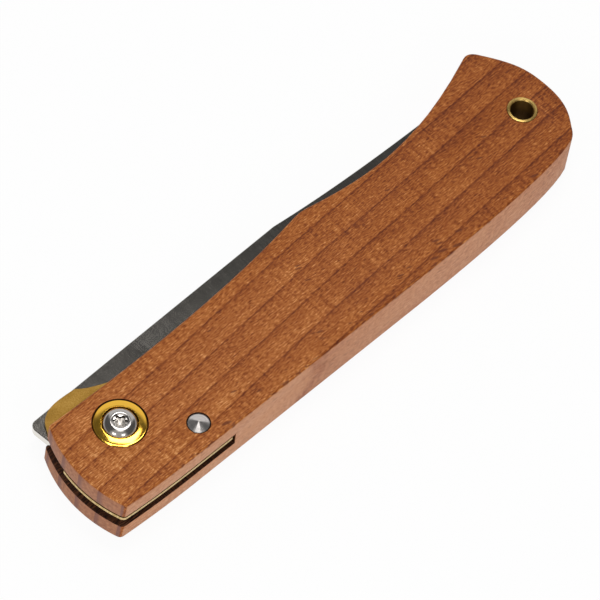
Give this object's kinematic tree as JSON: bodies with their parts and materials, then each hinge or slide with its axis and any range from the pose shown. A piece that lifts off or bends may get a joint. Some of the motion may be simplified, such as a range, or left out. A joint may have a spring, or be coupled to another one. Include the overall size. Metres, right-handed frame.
{
  "type": "folding pocket knife",
  "caption": "Folding pocket knife with a one-piece wooden handle, a clip-point blade that swings out on a screwed pivot, a gold liner, a stop pin and a lined lanyard hole.",
  "frame": {"origin": "under the middle of the bounding box of the closed knife, on the plane of the back face that it lies on", "axes": "+X along the handle from the pivot to the butt, +Y towards the side the blade swings out of, +Z from the back face to the front face"},
  "size_m": [0.1084, 0.0258, 0.0098],
  "materials": {
    "wood": "oiled reddish brown hardwood, fine pores and cross ripple",
    "blade_steel": "fine grey satin",
    "bright_steel": "turned bright steel",
    "gold_metal": "gold, matte on the liner and polished on the collars",
    "bronze": "plain bronze",
    "brass": "brushed rim, darker bore"
  },
  "bodies": {
    "handle": {"handle": "wood", "liner": "gold_metal", "front_collar": "gold_metal", "back_collar": "gold_metal", "pivot_screw": "bright_steel", "pivot_barrel": "bright_steel", "stop_pin": "bright_steel", "front_washer": "bronze", "back_washer": "bronze", "lanyard_tube": "brass"},
    "blade": {"blade": "blade_steel"}
  },
  "joints": [
    {"name": "blade_hinge", "type": "hinge", "parent": "handle", "child": "blade", "pos_m": [-0.0427, -0.00093, 0.00414], "axis": [0, 0, 1], "range_deg": [0, 169]}
  ]
}
